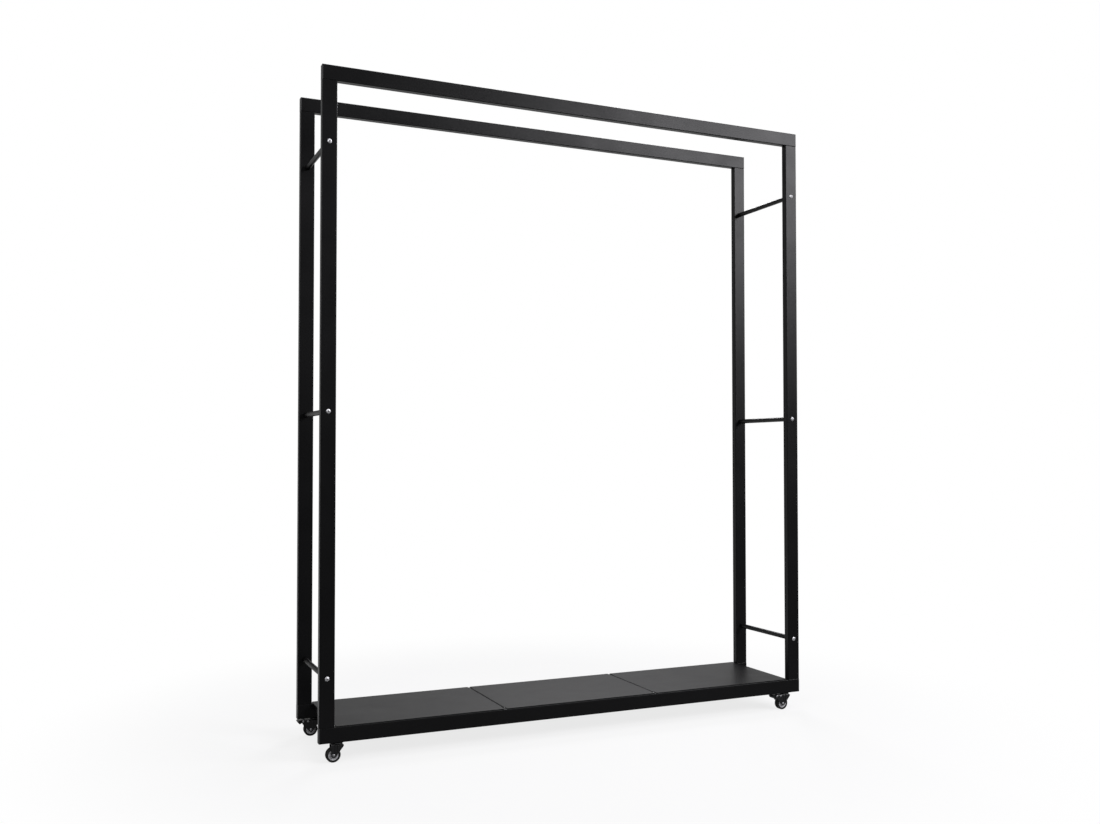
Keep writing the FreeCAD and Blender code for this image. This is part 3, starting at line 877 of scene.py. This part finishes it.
class RACK_OT_finishes(bpy.types.Operator):
    """Make the finishes of all pieces"""

    bl_idname = "rack.finishes"
    bl_label = "Finishes"

    def execute(self, context):
        colours = context.scene.rack_finishes
        grain_group()
        finish_material(
            "powder_coat", colours.paint, patches=1.5, scales=(850, 7),
            roughness=(0.34, 0.42), relief=0.1 * MM, level=0.16,
        )
        finish_material(
            "fork_enamel", colours.enamel, patches=1.6, scales=(1400, 60),
            roughness=(0.26, 0.38), relief=0.03 * MM, level=0.4,
        )
        finish_material(
            "bright_zinc", colours.zinc, patches=0.82, scales=(2600, 240),
            roughness=(0.44, 0.6), relief=0.01 * MM, metallic=1.0,
        )
        finish_material(
            "dull_zinc", colours.dull_zinc, patches=0.75, scales=(2600, 240),
            roughness=(0.4, 0.56), relief=0.01 * MM, metallic=1.0,
        )
        finish_material(
            "blackened_steel", colours.blackened, patches=1.7, scales=(2200, 160),
            roughness=(0.32, 0.5), relief=0.02 * MM, metallic=0.6,
        )
        finish_material(
            "cap_plastic", colours.plastic, patches=1.5, scales=(2000, 90),
            roughness=(0.4, 0.52), relief=0.03 * MM,
        )
        finish_material(
            "core_nylon", colours.core, patches=0.8, scales=(1500, 110),
            roughness=(0.38, 0.5), relief=0.03 * MM,
        )
        finish_material(
            "tyre_rubber", colours.rubber, patches=2.2, scales=(1800, 130),
            roughness=(0.6, 0.82), relief=0.05 * MM, level=0.2,
        )
        return {"FINISHED"}


class RACK_OT_uprights(bpy.types.Operator):
    """Sweep the four uprights of rectangular tube"""

    bl_idname = "rack.uprights"
    bl_label = "Uprights"

    def execute(self, context):
        for corner in CORNERS:
            rectangular_tube(context.scene.rack_frame, corner + "_upright", UP, ACROSS)
        return {"FINISHED"}


class RACK_OT_rails(bpy.types.Operator):
    """Sweep the top and bottom rails, with access holes below for the corner bolts"""

    bl_idname = "rack.rails"
    bl_label = "Rails"

    def execute(self, context):
        settings = context.scene.rack_frame
        for end in ENDS:
            rectangular_tube(settings, end + "_top_rail", ACROSS, UP)
            node = end + "_bottom_rail"
            drill = self.drill(settings, node)
            rectangular_tube(settings, node, ACROSS, UP, drill)
            removed(drill)
        return {"FINISHED"}

    def drill(self, settings, node):
        """Two round cutters that reach from below a bottom rail up to the seats of its corner bolts."""
        low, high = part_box(node)
        form = bmesh.new()
        for side in SIDES:
            middle = Vector((box_middle("front_" + side + "_upright").x, box_middle(node).y, low.z))
            bmesh.ops.create_cone(
                form,
                cap_ends=True,
                segments=40,
                radius1=settings.access_radius,
                radius2=settings.access_radius,
                depth=2 * (high.z - low.z - settings.tube_wall),
                matrix=Matrix.Translation(middle),
            )
        return in_scene("drill", as_mesh("drill", form))


class RACK_OT_bars(bpy.types.Operator):
    """Sweep the round cross bars between the frames"""

    bl_idname = "rack.bars"
    bl_label = "Cross bars"

    def execute(self, context):
        settings = context.scene.rack_frame
        for side in SIDES:
            for level in LEVELS:
                node = side + "_" + level + "_bar"
                size = box_size(node).x
                swept_tube(
                    node, BACK, UP, face=size, depth=size,
                    corner_radius=size / 2, corner_steps=settings.bar_steps,
                )
        return {"FINISHED"}


class RACK_OT_bolts(bpy.types.Operator):
    """Put button-head bolts on the bars and the frame corners"""

    bl_idname = "rack.bolts"
    bl_label = "Bolts"

    def execute(self, context):
        settings = context.scene.rack_fasteners
        columns = [box_middle("front_" + side + "_upright").x for side in SIDES]
        heights = [box_middle("left_" + level + "_bar").z for level in LEVELS]
        rows = [box_middle(end + "_top_rail").y for end in ENDS]
        at_bars = [Vector((x, 0, z)) for x in columns for z in heights]
        at_corners = [Vector((x, y, 0)) for x in columns for y in rows]
        self.place(settings, "front_bar_bolts", at_bars, FRONT, seed=15)
        self.place(settings, "rear_bar_bolts", at_bars, BACK, seed=14)
        self.place(settings, "top_corner_bolts", at_corners, UP, seed=16)
        self.place(settings, "bottom_corner_bolts", at_corners, DOWN, seed=19)
        return {"FINISHED"}

    def place(self, settings, node, spots, facing, seed):
        """Group of like bolts whose heads reach as far as the CAD bolts on the side that they face."""
        crest = head_height_at(settings, settings.socket_flats / 2)
        seat = max(corner.dot(facing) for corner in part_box(node)) - crest
        length = abs(box_size(node).dot(facing)) - crest
        places = [(spot + facing * seat, facing) for spot in spots]
        master = bolt_master(settings, length)
        fastener_group(node + "_plated", node, places, master, "bright_zinc", seed)


class RACK_OT_end_caps(bpy.types.Operator):
    """Mould the caps in the rail ends"""

    bl_idname = "rack.end_caps"
    bl_label = "End caps"

    def execute(self, context):
        node = "rail_end_caps"
        caps = rounded_copy(node + "_moulded", node, CAP_ROUNDING)
        finished(caps, node, "frame", "cap_plastic", sharp=30.0)
        return {"FINISHED"}


class RACK_OT_floor(bpy.types.Operator):
    """Fold the floor panels and put their screws in"""

    bl_idname = "rack.floor"
    bl_label = "Floor"

    def execute(self, context):
        for node in PANELS:
            panel = rounded_copy(node + "_sheet", node, context.scene.rack_frame.sheet_rounding)
            finished(panel, node, "frame", "powder_coat", sharp=30.0)
        settings = context.scene.rack_fasteners
        rows = [box_middle(end + "_bottom_rail").y for end in ENDS]
        places = []
        for node in PANELS:
            low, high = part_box(node)
            for x in (low.x + SCREW_INSET, high.x - SCREW_INSET):
                places += [(Vector((x, y, high.z)), UP) for y in rows]
        master = screw_master(settings)
        fastener_group("floor_screws_driven", "floor_screws", places, master, "blackened_steel", seed=7)
        return {"FINISHED"}


class RACK_OT_forks(bpy.types.Operator):
    """Press the caster forks and set their stems and wheel axles"""

    bl_idname = "rack.forks"
    bl_label = "Forks and stems"

    def execute(self, context):
        settings = context.scene.rack_casters
        for corner in CORNERS:
            node = corner + "_caster_fork"
            fork = rounded_copy(corner + "_fork_pressed", node, settings.edge_rounding)
            finished(fork, node, corner + "_fork", "fork_enamel", sharp=35.0)
            node = corner + "_caster_stem"
            stem = rounded_copy(corner + "_stem_turned", node, settings.edge_rounding)
            finished(stem, node, "frame", "blackened_steel", sharp=30.0)
            node = corner + "_wheel_axle"
            name = corner + "_axle_riveted"
            axle = rivet(name, node, settings.fork_width, settings.axle_radius, steps=40)
            finished(axle, node, corner + "_fork", "dull_zinc")
        return {"FINISHED"}


class RACK_OT_wheels(bpy.types.Operator):
    """Mould the wheel cores and tyres"""

    bl_idname = "rack.wheels"
    bl_label = "Wheels"

    def execute(self, context):
        settings = context.scene.rack_casters
        for corner in CORNERS:
            body = corner + "_wheel"
            node = corner + "_wheel_core"
            seat = box_size(node).z / 2
            core = rounded_copy(corner + "_core_moulded", node, CORE_ROUNDING)
            finished(core, node, body, "core_nylon", sharp=30.0)
            node = corner + "_wheel_tyre"
            section = self.tyre_section(settings, box_size(node), seat)
            tyre = spun(corner + "_tyre_moulded", section, box_middle(node), settings.spin_steps)
            finished(tyre, node, body, "tyre_rubber", sharp=50.0)
        return {"FINISHED"}

    def tyre_section(self, settings, size, seat):
        """Closed section of a tyre with a ring moulded in each side and a fine parting line."""
        edge = 0.4 * MM
        shoulder = 2.5 * MM
        ring_half = 0.3 * MM
        ring_inset = 0.9 * MM
        parting_half = 0.5 * MM
        parting_floor = 0.2 * MM
        parting_depth = 0.08 * MM
        outer = size.z / 2
        half = size.y / 2
        ring = seat + ring_inset
        side = arc_points((seat + edge, half - edge), edge, 180, 90, steps=4)
        side += [(ring - ring_half, half), (ring, half - settings.sidewall_groove), (ring + ring_half, half)]
        side += arc_points((outer - shoulder, half - shoulder), shoulder, 90, 0, steps=9)
        side += [(outer, parting_half), (outer - parting_depth, parting_floor)]
        return side + [(radius, -offset) for radius, offset in reversed(side)]


class RACK_OT_brakes(bpy.types.Operator):
    """Make the brake pedals and the pins they turn on"""

    bl_idname = "rack.brakes"
    bl_label = "Brakes"

    def execute(self, context):
        settings = context.scene.rack_casters
        for corner in BRAKED:
            node = corner + "_brake_pedal"
            pedal = rounded_copy(corner + "_pedal_cast", node, settings.edge_rounding)
            finished(pedal, node, corner + "_pedal", "fork_enamel", sharp=35.0)
            for node in (corner + "_brake_pin", corner + "_leg_rivet"):
                pin = rivet(node + "_set", node, settings.fork_width, settings.pin_radius, steps=32)
                finished(pin, node, corner + "_fork", "dull_zinc")
        return {"FINISHED"}


class RACK_OT_inner_pieces(bpy.types.Operator):
    """Coat the pieces inside the tubes and casters"""

    bl_idname = "rack.inner_pieces"
    bl_label = "Inner pieces"

    def execute(self, context):
        for node in ("bar_end_inserts", "caster_nut_plates"):
            coat(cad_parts[node], "bright_zinc")
        for node in ("upright_end_plugs", *[corner + "_swivel_washer" for corner in CORNERS]):
            coat(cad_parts[node], "cap_plastic")
        return {"FINISHED"}


class RACK_OT_stage(bpy.types.Operator):
    """Set up the floor, the studio light and the camera"""

    bl_idname = "rack.stage"
    bl_label = "Stage"

    def execute(self, context):
        settings = context.scene.rack_stage
        context.scene.view_settings.view_transform = "Standard"
        self.floor(settings)
        self.world(context.scene, settings)
        for name, place, target, width, height, power in LAMPS:
            self.lamp(name, Vector(place), Vector(target), width, height, getattr(settings, power))
        self.camera(context.scene, settings)
        return {"FINISHED"}

    def floor(self, settings):
        """Round pale floor that turns to plain white far from the rack."""
        radius = settings.floor_radius
        form = bmesh.new()
        bmesh.ops.create_circle(form, cap_ends=True, segments=96, radius=radius)
        floor = in_scene("floor", as_mesh("floor", form))
        material = bpy.data.materials.new("pale_floor")
        material.use_nodes = True
        tree = material.node_tree
        look = {"Base Color": FLOOR_COLOUR, "Roughness": 0.9, "Specular IOR Level": 0.0}
        shader = filled(tree.nodes["Principled BSDF"], look)
        where = placed_node(tree, "ShaderNodeTexCoord")
        away = placed_node(tree, "ShaderNodeVectorMath", operation="LENGTH")
        parts = placed_node(tree, "ShaderNodeSeparateXYZ")
        wired(tree, (where, "Object", away, "Vector"), (where, "Object", parts, "Vector"))
        fade = smooth_range(
            tree, away.outputs["Value"], start=0.45 * radius, end=0.9 * radius,
            low=settings.floor_white, high=1.0,
        )
        share = smooth_range(
            tree, parts.outputs["Y"], start=0.0, end=0.6,
            low=settings.floor_share, high=settings.ground_share,
        )
        camera, shiny = seen_rays(tree)
        cover = maths(tree, "MULTIPLY", fade, maths(tree, "MAXIMUM", camera, shiny))
        strength = maths(tree, "MAXIMUM", camera, maths(tree, "MULTIPLY", shiny, share))
        white = placed_node(tree, "ShaderNodeEmission")
        tree.links.new(strength, white.inputs["Strength"])
        mixed_surface(tree, cover, shader, white, "Material Output")
        coat(floor, "pale_floor")

    def world(self, scene, settings):
        """Dim room with a white backdrop and a white ground behind the rack."""
        world = bpy.data.worlds.new("studio")
        scene.world = world
        world.use_nodes = True
        tree = world.node_tree
        room = filled(tree.nodes["Background"], {"Color": WHITE, "Strength": settings.room_level})
        white = filled(placed_node(tree, "ShaderNodeBackground"), {"Color": WHITE})
        where = placed_node(tree, "ShaderNodeTexCoord")
        parts = placed_node(tree, "ShaderNodeSeparateXYZ")
        wired(tree, (where, "Generated", parts, "Vector"))
        behind = smooth_range(tree, parts.outputs["Y"], start=-0.1, end=0.8, low=0.0, high=1.0)
        below = smooth_range(
            tree, parts.outputs["Z"], start=-0.25, end=0.0,
            low=settings.ground_share, high=settings.backdrop_share,
        )
        camera, shiny = seen_rays(tree)
        share = maths(tree, "MULTIPLY", behind, below)
        seen = maths(tree, "MAXIMUM", camera, maths(tree, "MULTIPLY", shiny, share))
        mixed_surface(tree, seen, room, white, "World Output")

    def lamp(self, name, place, target, width, height, power):
        """Soft box aimed at a target, out of the camera's sight."""
        light = bpy.data.lights.new(name, "AREA")
        light.shape = "RECTANGLE"
        light.size = width
        light.size_y = height
        light.energy = power
        light.color = LAMP_COLOUR
        lamp = in_scene(name, light)
        lamp.location = place
        lamp.rotation_euler = (target - place).to_track_quat("-Z", "Y").to_euler()
        lamp.visible_camera = False

    def camera(self, scene, settings):
        """Camera at the photograph's place and angle."""
        data = bpy.data.cameras.new("camera")
        data.lens = settings.lens
        data.sensor_width = 36.0
        data.sensor_fit = "HORIZONTAL"
        data.shift_x = 0.0124
        data.shift_y = 0.0148
        data.clip_start = 0.05
        yaw = math.radians(23.771)
        pitch = math.radians(1.43)
        look = Vector((math.sin(yaw) * math.cos(pitch), math.cos(yaw) * math.cos(pitch), math.sin(pitch)))
        camera = in_scene("camera", data)
        camera.location = (-1.33079, -2.84067, 0.78856)
        camera.rotation_euler = look.to_track_quat("-Z", "Y").to_euler()
        scene.camera = camera


OPERATORS = (
    RACK_OT_finishes,
    RACK_OT_uprights,
    RACK_OT_rails,
    RACK_OT_bars,
    RACK_OT_bolts,
    RACK_OT_end_caps,
    RACK_OT_floor,
    RACK_OT_forks,
    RACK_OT_wheels,
    RACK_OT_brakes,
    RACK_OT_inner_pieces,
    RACK_OT_stage,
)

SETTINGS = {
    "rack_frame": RackFrameSettings,
    "rack_fasteners": RackFastenerSettings,
    "rack_casters": RackCasterSettings,
    "rack_finishes": RackFinishSettings,
    "rack_stage": RackStageSettings,
}


class RACK_PT_panel(bpy.types.Panel):
    """Settings and pieces of the firewood rack"""

    bl_idname = "RACK_PT_panel"
    bl_label = "Firewood rack"
    bl_space_type = "VIEW_3D"
    bl_region_type = "UI"
    bl_category = "Rack"

    def draw(self, context):
        for name, group in SETTINGS.items():
            box = self.layout.box()
            for key in group.__annotations__:
                box.prop(getattr(context.scene, name), key)
        for operator in OPERATORS:
            self.layout.operator(operator.bl_idname)


def register():
    """Register the settings, the operators and the panel."""
    for name, group in SETTINGS.items():
        bpy.utils.register_class(group)
        setattr(bpy.types.Scene, name, bpy.props.PointerProperty(type=group))
    for operator in OPERATORS:
        bpy.utils.register_class(operator)
    bpy.utils.register_class(RACK_PT_panel)


def unregister():
    """Take away all that register added."""
    bpy.utils.unregister_class(RACK_PT_panel)
    for operator in reversed(OPERATORS):
        bpy.utils.unregister_class(operator)
    for name, group in reversed(list(SETTINGS.items())):
        delattr(bpy.types.Scene, name)
        bpy.utils.unregister_class(group)


def main():
    """Build the dressed rack."""
    register()
    bpy.ops.rack.finishes()
    bpy.ops.rack.uprights()
    bpy.ops.rack.rails()
    bpy.ops.rack.bars()
    bpy.ops.rack.bolts()
    bpy.ops.rack.end_caps()
    bpy.ops.rack.floor()
    bpy.ops.rack.forks()
    bpy.ops.rack.wheels()
    bpy.ops.rack.brakes()
    bpy.ops.rack.inner_pieces()
    bpy.ops.rack.stage()


if __name__ == "__main__":
    main()
